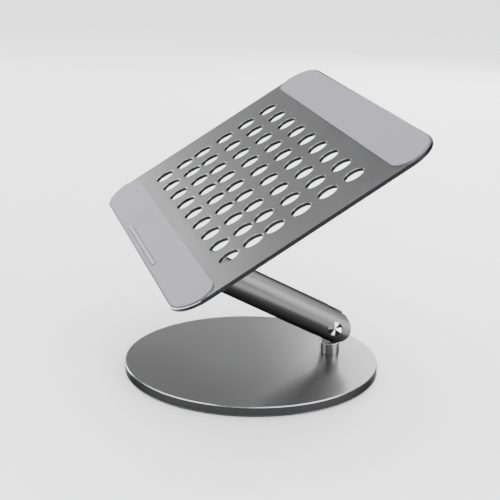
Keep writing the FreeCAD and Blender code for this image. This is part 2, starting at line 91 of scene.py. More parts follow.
# ---- settings ----
class StandSizes(PropertyGroup):
    tray_depth: FloatProperty(
        name="Tray depth", description="Low edge to high edge, along the tray",
        default=216 * MM, unit="LENGTH")
    tray_thickness: FloatProperty(
        name="Tray thickness", description="Thickness of the perforated plate",
        default=3 * MM, unit="LENGTH")
    tray_corner: FloatProperty(
        name="Tray corner", description="Radius of the tray's corners",
        default=26 * MM, unit="LENGTH")
    tray_edge: FloatProperty(
        name="Tray edge", description="Width of the cut chamfer round the tray",
        default=0.35 * MM, unit="LENGTH")
    hole_diameter: FloatProperty(
        name="Hole diameter", description="Diameter of the tray's ventilation holes",
        default=16 * MM, unit="LENGTH")
    hole_edge: FloatProperty(
        name="Hole edge", description="Width of the chamfer at each hole",
        default=0.3 * MM, unit="LENGTH")
    hole_columns: IntProperty(
        name="Hole columns", description="Holes in each row", default=9)
    column_pitch: FloatProperty(
        name="Column pitch", description="Distance between hole columns",
        default=29.5 * MM, unit="LENGTH")
    row_pitch: FloatProperty(
        name="Row pitch", description="Distance between the evenly spaced hole rows",
        default=22.2 * MM, unit="LENGTH")
    close_row_pitch: FloatProperty(
        name="Close row pitch", description="Distance from the last even row to the next",
        default=18 * MM, unit="LENGTH")
    front_row_pitch: FloatProperty(
        name="Front row pitch", description="Distance between the two rows nearest the user",
        default=20.3 * MM, unit="LENGTH")
    rear_row_gap: FloatProperty(
        name="Rear row gap", description="Rear pad to the centres of the first row",
        default=21.9 * MM, unit="LENGTH")
    pad_margin: FloatProperty(
        name="Pad margin", description="Bare metal between a pad and the tray's edge",
        default=2 * MM, unit="LENGTH")
    front_pad_depth: FloatProperty(
        name="Front pad depth", description="Front pad, low edge to high edge",
        default=32 * MM, unit="LENGTH")
    rear_pad_depth: FloatProperty(
        name="Rear pad depth", description="Rear pad, low edge to high edge",
        default=33.5 * MM, unit="LENGTH")
    pad_outer_corner: FloatProperty(
        name="Pad outer corner", description="Radius of a pad's corners at the tray's corners",
        default=22.5 * MM, unit="LENGTH")
    pad_inner_corner: FloatProperty(
        name="Pad inner corner", description="Radius of a pad's corners beside the holes",
        default=15 * MM, unit="LENGTH")
    pad_height: FloatProperty(
        name="Pad height", description="How far a pad stands above the tray",
        default=1 * MM, unit="LENGTH")
    pad_recess: FloatProperty(
        name="Pad recess", description="How deep a pad sits in the tray",
        default=0.5 * MM, unit="LENGTH")
    grip_length: FloatProperty(
        name="Lip length", description="Length of the ribbed lip",
        default=104 * MM, unit="LENGTH")
    grip_width: FloatProperty(
        name="Lip width", description="Width of the ribbed lip",
        default=4 * MM, unit="LENGTH")
    grip_ribs: IntProperty(
        name="Lip ribs", description="Ribs along the lip", default=21)
    arm_diameter: FloatProperty(
        name="Arm diameter", description="Diameter of the round arm",
        default=27.4 * MM, unit="LENGTH")
    fork_gap: FloatProperty(
        name="Fork gap", description="Width of the slot in each end of the arm",
        default=10.66 * MM, unit="LENGTH")
    fork_depth: FloatProperty(
        name="Fork depth", description="Hinge axis to the bottom of the slot",
        default=10.2 * MM, unit="LENGTH")
    cap_diameter: FloatProperty(
        name="Cap diameter", description="Diameter of the bright hinge caps",
        default=11.7 * MM, unit="LENGTH")
    cap_facets: IntProperty(
        name="Cap facets", description="Bright facets on a hinge cap", default=8)
    tongue_thickness: FloatProperty(
        name="Tongue thickness", description="Thickness of the tongues in the forks",
        default=9 * MM, unit="LENGTH")
    tongue_radius: FloatProperty(
        name="Tongue radius", description="Radius of the tongues' round ends",
        default=8 * MM, unit="LENGTH")
    base_chamfer: FloatProperty(
        name="Base chamfer", description="Polished chamfer round the base disc",
        default=0.6 * MM, unit="LENGTH")


class StandFinishes(PropertyGroup):
    tray_metal: FloatVectorProperty(
        name="Tray metal", description="Anodised finish of the tray",
        default=(0.125, 0.125, 0.127), size=3, subtype="COLOR", min=0, max=1)
    base_metal: FloatVectorProperty(
        name="Base metal", description="Anodised finish of the base disc",
        default=(0.13, 0.13, 0.131), size=3, subtype="COLOR", min=0, max=1)
    arm_metal: FloatVectorProperty(
        name="Arm metal", description="Darker anodised finish of the arm",
        default=(0.14, 0.14, 0.141), size=3, subtype="COLOR", min=0, max=1)
    edge_metal: FloatVectorProperty(
        name="Cut edge", description="Diamond-cut edges of the holes and the base",
        default=(0.42, 0.42, 0.425), size=3, subtype="COLOR", min=0, max=1)
    # Painted shade: the side walls of the tray and its holes are far darker than its top, standing in for the
    # shade and dark reflections on them.
    wall_shade_metal: FloatVectorProperty(
        name="Wall painted shade", description="Darker side walls of the tray and its holes",
        default=(0.019, 0.019, 0.02), size=3, subtype="COLOR", min=0, max=1)
    steel: FloatVectorProperty(
        name="Steel", description="Turned steel of the post and hardware",
        default=(0.62, 0.62, 0.63), size=3, subtype="COLOR", min=0, max=1)
    silicone: FloatVectorProperty(
        name="Silicone", description="Matte silicone of the pads",
        default=(0.172, 0.168, 0.189), size=3, subtype="COLOR", min=0, max=1)


class StageSettings(PropertyGroup):
    camera_place: FloatVectorProperty(
        name="Camera", description="Where the camera stands",
        default=(1.0470, -0.2713, 0.4258), size=3, subtype="TRANSLATION", unit="LENGTH")
    camera_turn: FloatProperty(
        name="Camera turn", description="Turn of the camera about the vertical",
        default=math.radians(75.6), unit="ROTATION")
    camera_dip: FloatProperty(
        name="Camera dip", description="How far the camera looks down",
        default=math.radians(16.8), unit="ROTATION")
    camera_roll: FloatProperty(
        name="Camera roll", description="Roll of the camera about its own view",
        default=math.radians(1.0), unit="ROTATION")
    camera_lens: FloatProperty(
        name="Lens", description="Focal length in millimetres", default=103.1)
    floor_colour: FloatVectorProperty(
        name="Floor", description="Colour of the floor",
        default=(0.93, 0.93, 0.935), size=3, subtype="COLOR", min=0, max=1)


# ---- node materials ----
def node_tree(name):
    """A new material with its node tree, its shader and its object coordinates."""
    material = bpy.data.materials.new(name)
    material.use_nodes = True
    tree = material.node_tree
    shader = tree.nodes["Principled BSDF"]
    place = tree.nodes.new("ShaderNodeTexCoord")
    return material, tree, shader, place.outputs["Object"]


def noise(tree, place, scale, detail):
    node = tree.nodes.new("ShaderNodeTexNoise")
    node.inputs["Scale"].default_value = scale
    node.inputs["Detail"].default_value = detail
    tree.links.new(place, node.inputs["Vector"])
    return node.outputs["Fac"]


def spread(tree, value, low, high):
    """Map a noise value to the range from low to high."""
    node = tree.nodes.new("ShaderNodeMapRange")
    node.inputs["From Min"].default_value = NOISE_RANGE[0]
    node.inputs["From Max"].default_value = NOISE_RANGE[1]
    node.inputs["To Min"].default_value = low
    node.inputs["To Max"].default_value = high
    tree.links.new(value, node.inputs["Value"])
    return node.outputs["Result"]


def tinted(tree, value, colour, change):
    """A colour that drifts between colour * (1 - change) and colour * (1 + change)."""
    node = tree.nodes.new("ShaderNodeMix")
    node.data_type = "RGBA"
    node.inputs["A"].default_value = [c * (1 - change) for c in colour] + [1]
    node.inputs["B"].default_value = [min(c * (1 + change), 1) for c in colour] + [1]
    tree.links.new(value, node.inputs["Factor"])
    return node.outputs["Result"]


def bumped(tree, value, shader, depth, strength):
    node = tree.nodes.new("ShaderNodeBump")
    node.inputs["Strength"].default_value = strength
    node.inputs["Distance"].default_value = depth
    tree.links.new(value, node.inputs["Height"])
    tree.links.new(node.outputs["Normal"], shader.inputs["Normal"])


def blasted_metal(name, colour, roughness, grain=2600.0, grain_depth=0.02 * MM, graze=1.0):
    """Blasted metal with faint clouds in tone and gloss; a low graze darkens it where it turns away."""
    material, tree, shader, place = node_tree(name)
    shader.inputs["Metallic"].default_value = 1.0
    shader.inputs["Specular Tint"].default_value = (graze, graze, graze, 1)
    clouds = noise(tree, place, scale=14.0, detail=4.0)
    grains = noise(tree, place, scale=grain, detail=1.0)
    tree.links.new(tinted(tree, clouds, colour, change=0.05), shader.inputs["Base Color"])
    tree.links.new(spread(tree, clouds, roughness - 0.03, roughness + 0.03), shader.inputs["Roughness"])
    bumped(tree, grains, shader, depth=grain_depth, strength=0.35)
    return material


def turned_metal(name, colour, roughness, pitch):
    """Metal with the fine lines that a lathe leaves, one every pitch up the Z axis."""
    material, tree, shader, place = node_tree(name)
    shader.inputs["Metallic"].default_value = 1.0
    lines = tree.nodes.new("ShaderNodeTexWave")
    lines.wave_type = "BANDS"
    lines.bands_direction = "Z"
    lines.inputs["Scale"].default_value = 1 / pitch / WAVE_BANDS
    lines.inputs["Distortion"].default_value = 0.4
    lines.inputs["Detail"].default_value = 1.0
    tree.links.new(place, lines.inputs["Vector"])
    smears = noise(tree, place, scale=90.0, detail=3.0)
    tree.links.new(tinted(tree, smears, colour, change=0.04), shader.inputs["Base Color"])
    tree.links.new(spread(tree, smears, roughness - 0.04, roughness + 0.05), shader.inputs["Roughness"])
    bumped(tree, lines.outputs["Fac"], shader, depth=0.01 * MM, strength=0.25)
    return material


def mirror_metal(name, colour, roughness):
    """Diamond-cut or plated metal with faint handling marks."""
    material, tree, shader, place = node_tree(name)
    shader.inputs["Metallic"].default_value = 1.0
    marks = noise(tree, place, scale=220.0, detail=5.0)
    tree.links.new(tinted(tree, marks, colour, change=0.02), shader.inputs["Base Color"])
    tree.links.new(spread(tree, marks, roughness, roughness + 0.04), shader.inputs["Roughness"])
    return material


def soft_rubber(name, colour, roughness, sheen=0.08):
    """Moulded silicone or rubber: matte, finely grained, slightly dusty."""
    material, tree, shader, place = node_tree(name)
    shader.inputs["Specular IOR Level"].default_value = 0.35
    shader.inputs["Sheen Weight"].default_value = sheen
    shader.inputs["Sheen Roughness"].default_value = 0.5
    patches = noise(tree, place, scale=22.0, detail=4.0)
    grains = noise(tree, place, scale=3200.0, detail=1.0)
    tree.links.new(tinted(tree, patches, colour, change=0.03), shader.inputs["Base Color"])
    tree.links.new(spread(tree, patches, roughness - 0.05, roughness + 0.05), shader.inputs["Roughness"])
    bumped(tree, grains, shader, depth=0.03 * MM, strength=0.4)
    return material


def moulded_plastic(name, colour, roughness):
    """Plain plastic with a faint moulded grain."""
    material, tree, shader, place = node_tree(name)
    shade = noise(tree, place, scale=40.0, detail=2.0)
    tree.links.new(tinted(tree, shade, colour, change=0.02), shader.inputs["Base Color"])
    tree.links.new(spread(tree, shade, roughness - 0.04, roughness + 0.04), shader.inputs["Roughness"])
    grains = noise(tree, place, scale=1800.0, detail=1.0)
    bumped(tree, grains, shader, depth=0.02 * MM, strength=0.3)
    return material


MATERIALS = {}


def make_materials():
    finish = bpy.context.scene.stand_finishes
    MATERIALS.update({
        "tray": blasted_metal("satin_tray_metal", finish.tray_metal, 0.36),
        "base": blasted_metal("satin_base_metal", finish.base_metal, 0.33),
        "arm": blasted_metal("dark_arm_metal", finish.arm_metal, 0.3, grain_depth=0.01 * MM,
                             graze=0.05),
        "bracket": blasted_metal("bracket_metal", finish.arm_metal, 0.38),
        "edge": mirror_metal("diamond_cut_edge", finish.edge_metal, 0.15),
        # Painted shade for the tray's side walls, hole walls and pocket walls.
        "wall": blasted_metal("wall_painted_shade_metal", finish.wall_shade_metal, 0.34, grain=1400.0),
        "cap": mirror_metal("faceted_cap_metal", (0.93, 0.93, 0.93), 0.035),
        # Dark copy of the bright cap metal: painted dark reflection for alternate cap facets.
        "cap_painted_dark_sector": mirror_metal("cap_painted_dark_reflection", (0.1, 0.1, 0.1), 0.08),
        # Bright cut metal of the pocket brims, also used as a painted highlight on the tray's front chamfer.
        "trim_and_highlight": mirror_metal("recess_cut_and_painted_highlight_metal", (0.85, 0.85, 0.86), 0.24),
        # Far darker copy of the base metal for the disc's side wall: painted shade.
        "rim": blasted_metal("rim_painted_shade_metal", (0.04, 0.04, 0.041), 0.3, grain=1400.0,
                             graze=0.4),
        "post": turned_metal("turned_post_metal", finish.steel, 0.2, pitch=0.35 * MM),
        "steel": turned_metal("plated_steel", finish.steel, 0.3, pitch=0.5 * MM),
        "spring": blasted_metal("oiled_spring_steel", (0.2, 0.19, 0.185), 0.3),
        "iron": blasted_metal("blackened_steel", (0.06, 0.06, 0.065), 0.5, grain=900.0),
        "bronze": blasted_metal("sintered_bronze", (0.56, 0.36, 0.17), 0.42, grain=1500.0),
        "brass": turned_metal("stamped_brass", (0.72, 0.52, 0.24), 0.24, pitch=0.4 * MM),
        "silicone": soft_rubber("pad_silicone", finish.silicone, 0.62),
        "lip": soft_rubber("lip_silicone", [c * 1.9 for c in finish.silicone], 0.5),
        # Dark silicone for the lip's root between the ribs: painted shade.
        "groove_shade": soft_rubber("lip_groove_painted_shade", (0.05, 0.05, 0.055), 0.7, sheen=0.02),
        "foot": soft_rubber("foot_rubber", (0.022, 0.022, 0.024), 0.7, sheen=0.03),
        "glide": moulded_plastic("glide_plastic", (0.78, 0.78, 0.76), 0.4),
    })


# ---- shapes ----
def arc(centre, radius, start, end, steps):
    """Points on an arc in the XY plane, angles in degrees."""
    points = []
    for step in range(steps + 1):
        angle = math.radians(start + (end - start) * step / steps)
        x = centre[0] + radius * math.cos(angle)
        y = centre[1] + radius * math.sin(angle)
        points.append(Vector((x, y, 0)))
    return points


def plate_outline(half_width, front, rear, front_radius, rear_radius, steps=20):
    """A rectangle with round corners, from the front edge's Y to the rear edge's."""
    points = arc((half_width - rear_radius, rear - rear_radius), rear_radius, 0, 90, steps)
    points += arc((-half_width + rear_radius, rear - rear_radius), rear_radius, 90, 180, steps)
    points += arc((-half_width + front_radius, front + front_radius), front_radius, 180, 270, steps)
    points += arc((half_width - front_radius, front + front_radius), front_radius, 270, 360, steps)
    return points


def loop_edges(bm, points):
    """Draw a closed loop through the points, leaving out repeated ones."""
    corners = []
    for point in points:
        if not corners or (corners[-1].co - point).length > SAME_PLACE:
            corners.append(bm.verts.new(point))
    if (corners[-1].co - corners[0].co).length <= SAME_PLACE:
        bm.verts.remove(corners.pop())
    return [bm.edges.new((corner, corners[index - 1])) for index, corner in enumerate(corners)]


def sharp_edges(bm, least=50.0):
    """Edges whose faces turn by more than least degrees."""
    limit = math.radians(least)
    return [edge for edge in bm.edges if edge.is_manifold and edge.calc_face_angle(0) > limit]


def round_edges(bm, edges, width, segments, material=-1):
    """Round edges that are still there; -1 leaves the new faces their neighbours' material."""
    there = [edge for edge in edges if edge.is_valid]
    bmesh.ops.bevel(bm, geom=there, offset=width, offset_type="OFFSET", affect="EDGES",
                    segments=segments, profile=0.5, material=material, clamp_overlap=True)


def ring_edges(bm, holes, steps):
    """Draw a circle for each hole (x, y, radius) and give back all their edges."""
    edges = []
    for x, y, radius in holes:
        ring = bmesh.ops.create_circle(bm, segments=steps, radius=radius,
                                       matrix=Matrix.Translation((x, y, 0)))
        edges += list(dict.fromkeys(edge for vert in ring["verts"] for edge in vert.link_edges))
    return edges


def extruded(bm, faces, height, **options):
    """Extrude faces along Z."""
    made = bmesh.ops.extrude_face_region(bm, geom=faces, **options)
    moved = [item for item in made["geom"] if isinstance(item, bmesh.types.BMVert)]
    bmesh.ops.translate(bm, verts=moved, vec=(0, 0, height))


def pierced_plate(outline, holes, bottom, top):
    """A flat plate with an outline and round holes, each (x, y, radius)."""
    bm = bmesh.new()
    edges = loop_edges(bm, outline)
    edges += ring_edges(bm, holes, steps=48)
    bmesh.ops.triangle_fill(bm, use_beauty=True, use_dissolve=False, edges=edges, normal=(0, 0, 1))
    bmesh.ops.translate(bm, verts=bm.verts, vec=(0, 0, bottom))
    extruded(bm, bm.faces[:], top - bottom, use_keep_orig=True)
    bmesh.ops.recalc_face_normals(bm, faces=bm.faces)
    return bm


def turned(profile, steps):
    """A solid of revolution about Z; the profile is (radius, height) points from axis to axis."""
    ease = 0.12 * MM
    bm = bmesh.new()
    corners = [bm.verts.new((radius, 0, height)) for radius, height in profile]
    for first, second in zip(corners, corners[1:]):
        bm.edges.new((first, second))
    bmesh.ops.bevel(bm, geom=corners[1:-1], offset=ease, offset_type="OFFSET", affect="VERTICES",
                    segments=2, profile=0.5, material=-1, clamp_overlap=True)
    bmesh.ops.spin(bm, geom=bm.verts[:] + bm.edges[:], cent=(0, 0, 0), axis=(0, 0, 1),
                   angle=2 * math.pi, steps=steps, use_merge=True)
    bmesh.ops.remove_doubles(bm, verts=bm.verts, dist=SAME_PLACE)
    bmesh.ops.recalc_face_normals(bm, faces=bm.faces)
    return bm


def joined(*shapes):
    """One bmesh that holds every shape given."""
    mesh = bpy.data.meshes.new("joined")
    whole = bmesh.new()
    for shape in shapes:
        shape.to_mesh(mesh)
        whole.from_mesh(mesh)
        shape.free()
    bpy.data.meshes.remove(mesh)
    return whole


def block(size, centre):
    bm = bmesh.new()
    place = Matrix.Translation(centre) @ Matrix.Diagonal(size).to_4x4()
    bmesh.ops.create_cube(bm, size=1, matrix=place)
    return bm


def rod(radius, start, end, axis, steps):
    """A closed cylinder along the X or the Y axis, from start to end."""
    bm = bmesh.new()
    turn = {"X": Matrix.Rotation(math.pi / 2, 4, "Y"), "Y": Matrix.Rotation(-math.pi / 2, 4, "X")}[axis]
    middle = (start + end) / 2
    bmesh.ops.create_cone(bm, cap_ends=True, segments=steps, radius1=radius, radius2=radius,
                          depth=end - start, matrix=turn @ Matrix.Translation((0, 0, middle)))
    return bm


def mesh_object(name, bm):
    mesh = bpy.data.meshes.new(name)
    bm.to_mesh(mesh)
    bm.free()
    piece = bpy.data.objects.new(name, mesh)
    bpy.context.scene.collection.objects.link(piece)
    return piece


def carved(bm, *steps):
    """Apply boolean steps, each (operation, shape), and give back the result as a bmesh."""
    body = mesh_object("carving", bm)
    tools = []
    for operation, shape in steps:
        tool = mesh_object("tool", shape)
        tools.append(tool)
        modifier = body.modifiers.new(operation.lower(), "BOOLEAN")
        modifier.operation = operation
        modifier.solver = "EXACT"
        modifier.object = tool
    evaluated = body.evaluated_get(bpy.context.evaluated_depsgraph_get())
    result = bmesh.new()
    result.from_mesh(evaluated.to_mesh())
    evaluated.to_mesh_clear()
    for helper in tools + [body]:
        mesh = helper.data
        bpy.data.objects.remove(helper)
        bpy.data.meshes.remove(mesh)
    tiny = SAME_PLACE / 10
    bmesh.ops.remove_doubles(result, verts=result.verts, dist=tiny)
    bmesh.ops.dissolve_degenerate(result, edges=result.edges, dist=tiny)
    return result


def finish_piece(name, bm, place, materials, body, slot_name, *nodes):
    """Put a shape in its place, smooth it, give it its finish and hang it on its body."""
    bmesh.ops.transform(bm, matrix=place, verts=bm.verts)
    crease = math.radians(40)
    for face in bm.faces:
        face.smooth = True
    for edge in bm.edges:
        edge.smooth = not edge.is_manifold or edge.calc_face_angle(0) < crease
    piece = mesh_object(name, bm)
    for key in materials:
        piece.data.materials.append(MATERIALS[key])
    shading = piece.modifiers.new("flat_faces_lead", "WEIGHTED_NORMAL")
    shading.keep_sharp = True
    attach(piece, body)
    if nodes:
        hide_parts(*nodes)
    return piece


def tray_place():
    """The tray's own frame: origin in the middle of its top face, Y towards its high edge."""
    sizes = bpy.context.scene.stand_sizes
    middle = (TRAY_LOW + TRAY_HIGH) / 2
    return local_frame(middle + TRAY_NORMAL * sizes.tray_thickness / 2, TRAY_NORMAL.cross(ACROSS))


def arm_place():
    """The arm's own frame: origin on the lower hinge, Y away from the upper one."""
    return local_frame(LOWER_HINGE, (LOWER_HINGE - UPPER_HINGE).normalized())


def hinge_in_tray():
    """The tray hinge's axis in the tray's own frame: its depth coordinate and its height."""
    at = tray_place().inverted() @ UPPER_HINGE
    return at.y, at.z


# A plate drawn flat, stood up: its X runs along the stand, its Y up, its thickness across.
STAND_UP = Matrix(((0, 0, 1, 0), (1, 0, 0, 0), (0, 1, 0, 0), (0, 0, 0, 1)))


def tongue_shape(root, thickness, radius):
    """A bored tongue round the X axis with its round end there, down (or up) to height root."""
    start = 0 if root < 0 else 180
    end = arc((0, 0), radius, start, start + 180, steps=32)
    outline = end + [Vector((end[-1].x, root, 0)), Vector((end[0].x, root, 0))]
    bm = pierced_plate(outline, [(0, 0, PIN_BORE)], -thickness / 2, thickness / 2)
    round_edges(bm, sharp_edges(bm), TONGUE_EASE, segments=2)
    bmesh.ops.transform(bm, matrix=STAND_UP, verts=bm.verts)
    return bm


# ---- pieces ----
class LAPTOPSTAND_OT_base_disc(Operator):
    """Build the turned base disc with its polished chamfer and the cavity under it"""
    bl_idname = "laptopstand.base_disc"
    bl_label = "Base Disc"

    def execute(self, context):
        chamfer = context.scene.stand_sizes.base_chamfer
        radius = BASE_HIGH.x
        top = BASE_HIGH.z
        bottom = BASE_LOW.z
        wall = 4 * MM
        flat_from_rim = 30 * MM
        lower_chamfer = 0.4 * MM
        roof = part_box("upper_race")[1].z
        profile = [
            (0, top), (radius - flat_from_rim, top), (radius - chamfer, top), (radius, top - chamfer),
            (radius, bottom + lower_chamfer), (radius - lower_chamfer, bottom), (radius - wall, bottom),
            (radius - wall, roof), (0, roof),
        ]
        bm = turned(profile, steps=288)
        steep, level = 0.5, 0.9
        # Chamfer faces take the polished edge metal; the side wall takes the dark rim metal as painted shade.
        for face in bm.faces:
            if steep < face.normal.z < level:
                face.material_index = 1
            elif abs(face.normal.z) <= steep:
                face.material_index = 2
        finish_piece("base_disc_shell", bm, Matrix.Identity(4), ["base", "edge", "rim"], "base",
                     "satin_base", "base_disc")
        return {"FINISHED"}


class LAPTOPSTAND_OT_foot_pad(Operator):
    """Build the foot pad with the ring ribs that grip the desk"""
    bl_idname = "laptopstand.foot_pad"
    bl_label = "Foot Pad"

    def execute(self, context):
        radius = FOOT_HIGH.x
        top = FOOT_HIGH.z
        groove_depth = 0.3 * MM
        groove_floor = (0.4 * MM, 1.8 * MM)
        groove_width = 2.2 * MM
        pitch = 6 * MM
        plain_rim = 3 * MM
        edge = 0.3 * MM
        profile = [(0, 0), (20 * MM, 0)]
        inner = 24 * MM
        while inner + pitch < radius - plain_rim:
            profile += [(inner, 0), (inner + groove_floor[0], groove_depth),
                        (inner + groove_floor[1], groove_depth), (inner + groove_width, 0)]
            inner += pitch
        profile += [(radius - edge, 0), (radius, edge), (radius, top), (0, top)]
        bm = turned(profile, steps=160)
        finish_piece("foot_pad_sheet", bm, Matrix.Identity(4), ["foot"], "foot", "foot_rubber",
                     "foot_pad")
        return {"FINISHED"}


class LAPTOPSTAND_OT_post(Operator):
    """Build the turned post and the flat tongue that the arm's fork takes"""
    bl_idname = "laptopstand.post"
    bl_label = "Post"

    def execute(self, context):
        sizes = context.scene.stand_sizes
        radius = POST_HIGH.x
        foot = BASE_HIGH.z - LOWER_HINGE.z
        sunk = POST_LOW.z - LOWER_HINGE.z
        shoulder = -sizes.arm_diameter / 2 - END_GAP
        spigot = 5.5 * MM
        foot_ease = 0.25 * MM
        chamfer = 0.6 * MM
        rooted = 0.5 * MM
        profile = [
            (0, sunk), (spigot, sunk), (spigot, foot), (radius - foot_ease, foot),
            (radius, foot + foot_ease), (radius, shoulder - chamfer), (radius - chamfer, shoulder),
            (0, shoulder),
        ]
        shank = turned(profile, steps=128)
        tongue = tongue_shape(shoulder - rooted, sizes.tongue_thickness, sizes.tongue_radius)
        finish_piece("post_with_tongue", joined(shank, tongue), Matrix.Translation(LOWER_HINGE),
                     ["post"], "base", "polished_post", "post")
        return {"FINISHED"}


class LAPTOPSTAND_OT_arm(Operator):
    """Build the round arm with its forked, rounded ends"""
    bl_idname = "laptopstand.arm"
    bl_label = "Arm"

    def execute(self, context):
        sizes = context.scene.stand_sizes
        radius = sizes.arm_diameter / 2
        cap_seat = sizes.cap_diameter / 2 + 0.1 * MM
        ends = ((0.0, 1), (-ARM_LENGTH, -1))
        bar = rod(radius, -ARM_LENGTH - radius, radius, "Y", steps=160)
        spans = 32
        for ring in range(2, spans - 2):
            bmesh.ops.bisect_plane(bar, geom=bar.verts[:] + bar.edges[:] + bar.faces[:],
                                   plane_co=(0, -ARM_LENGTH * ring / spans, 0), plane_no=(0, 1, 0))
        shoulder = 1.2 * radius
        clear = 1.5 * radius
        rounding = radius - 0.02 * MM
        profile = arc((0, 0), rounding, -90, 90, steps=40)
        profile += [Vector((0, shoulder, 0)), Vector((-ARM_LENGTH, shoulder, 0))]
        profile += arc((-ARM_LENGTH, 0), rounding, 90, 270, steps=40)
        profile += [Vector((-ARM_LENGTH, -shoulder, 0)), Vector((0, -shoulder, 0))]
        envelope = pierced_plate(profile, [], -clear, clear)
        bmesh.ops.transform(envelope, matrix=STAND_UP, verts=envelope.verts)
        steps = []
        for along, outward in ends:
            reach = sizes.fork_depth + shoulder
            middle = along + outward * (shoulder - sizes.fork_depth) / 2
            slot = block((sizes.fork_gap, reach, 2 * clear), (0, middle, 0))
            steps.append(("DIFFERENCE", slot))
            for side in (-1, 1):
                low, high = sorted((side * (radius - CAP_SINK), side * shoulder))
                pocket = rod(cap_seat, low, high, "X", steps=96)
                bmesh.ops.translate(pocket, verts=pocket.verts, vec=(0, along, 0))
                steps.append(("DIFFERENCE", pocket))
        bm = carved(bar, *steps, ("INTERSECT", envelope))
        edge = 0.35 * MM
        round_edges(bm, sharp_edges(bm, 45), edge, segments=2)
        finish_piece("arm_bar", bm, arm_place(), ["arm"], "arm", "dark_arm", "arm")
        return {"FINISHED"}


def pleated_cap(radius, seat, facets):
    """A round cap about the X axis whose face is folded into flat facets that meet at its centre; alternate facets
    take a dark copy of the cap metal as a painted dark reflection.
    """
    pleat = 0.34                # rise of a fold for each unit across it
    hair = 1e-4                 # keeps a corner on a fold in its own facet
    cap = bmesh.new()
    lie_down = Matrix.Rotation(math.pi / 2, 4, "Y")
    bmesh.ops.create_circle(cap, cap_ends=True, cap_tris=True, segments=facets * 10, radius=radius,
                            matrix=lie_down)
    step = 2 * math.pi / facets
    crown = seat + 0.9 * MM
    for vert in cap.verts:
        turn = math.atan2(vert.co.z, vert.co.y) + step / 4
        sector = math.floor(turn / step + hair)
        side = 1 if sector % 2 else -1
        reach = math.hypot(vert.co.y, vert.co.z)
        vert.co.x = crown + side * pleat * reach * math.sin(turn - (sector + 0.5) * step)
    rim = [edge for edge in cap.edges if edge.is_boundary]
    for item in bmesh.ops.extrude_edge_only(cap, edges=rim)["geom"]:
        if isinstance(item, bmesh.types.BMVert):
            item.co.x = seat
    # Alternate facets take the dark copy of the cap metal: painted dark reflection sectors on a cap of one bright
    # metal.
    for face in cap.faces:
        middle = face.calc_center_median()
        sector = math.floor((math.atan2(middle.z, middle.y) + step / 4) / step)
        face.material_index = sector % 2
    bmesh.ops.holes_fill(cap, edges=[edge for edge in cap.edges if edge.is_boundary], sides=0)
    bmesh.ops.recalc_face_normals(cap, faces=cap.faces)
    return cap


class LAPTOPSTAND_OT_hinge_caps(Operator):
    """Build the faceted bright caps over both ends of both hinge pins, with a painted dark reflection on alternate
    facets
    """
    bl_idname = "laptopstand.hinge_caps"
    bl_label = "Hinge Caps"

    def execute(self, context):
        sizes = context.scene.stand_sizes
        seat = sizes.arm_diameter / 2 - CAP_SINK
        for hinge, along in (("lower", 0.0), ("upper", ARM_LENGTH)):
            near = pleated_cap(sizes.cap_diameter / 2, seat, sizes.cap_facets)
            far = near.copy()
            bmesh.ops.transform(far, matrix=Matrix.Rotation(math.pi, 4, "Z"), verts=far.verts)
            place = arm_place() @ Matrix.Translation((0, -along, 0))
            piece = finish_piece(hinge + "_cap_pair", joined(near, far), place,
                                 ["cap", "cap_painted_dark_sector"], "arm", "mirror_cap", hinge + "_pin_caps")
            piece.data.shade_flat()
        return {"FINISHED"}


def hole_places(sizes):
    """Centres of the tray's holes: four even rows from the rear pad, then two closer ones."""
    first = sizes.tray_depth / 2 - sizes.pad_margin - sizes.rear_pad_depth - sizes.rear_row_gap
    rows = [first - sizes.row_pitch * index for index in range(4)]
    rows.append(rows[-1] - sizes.close_row_pitch)
    rows.append(rows[-1] - sizes.front_row_pitch)
    for y in rows:
        for column in range(sizes.hole_columns):
            yield (column - (sizes.hole_columns - 1) / 2) * sizes.column_pitch, y


def pad_outline(sizes, is_front, grow=0.0):
    """Outline of a pad, or of its recess if it grows."""
    edge = sizes.tray_depth / 2 - sizes.pad_margin
    half_width = TRAY_HIGH.x - sizes.pad_margin + grow
    outer = sizes.pad_outer_corner + grow
    inner = sizes.pad_inner_corner + grow
    if is_front:
        return plate_outline(half_width, -edge - grow, -edge + sizes.front_pad_depth + grow,
                             outer, inner)
    return plate_outline(half_width, edge - sizes.rear_pad_depth - grow, edge + grow, inner, outer)


# Places in the tray's list of materials, after the plain metal at 0.
EDGE_FACE, WALL_SHADE_FACE, CUT_AND_HIGHLIGHT_FACE = 1, 2, 3


def corner_key(vert):
    """Where a corner is seen from above, rounded so that it can be looked up."""
    return round(vert.co.x, 6), round(vert.co.y, 6)


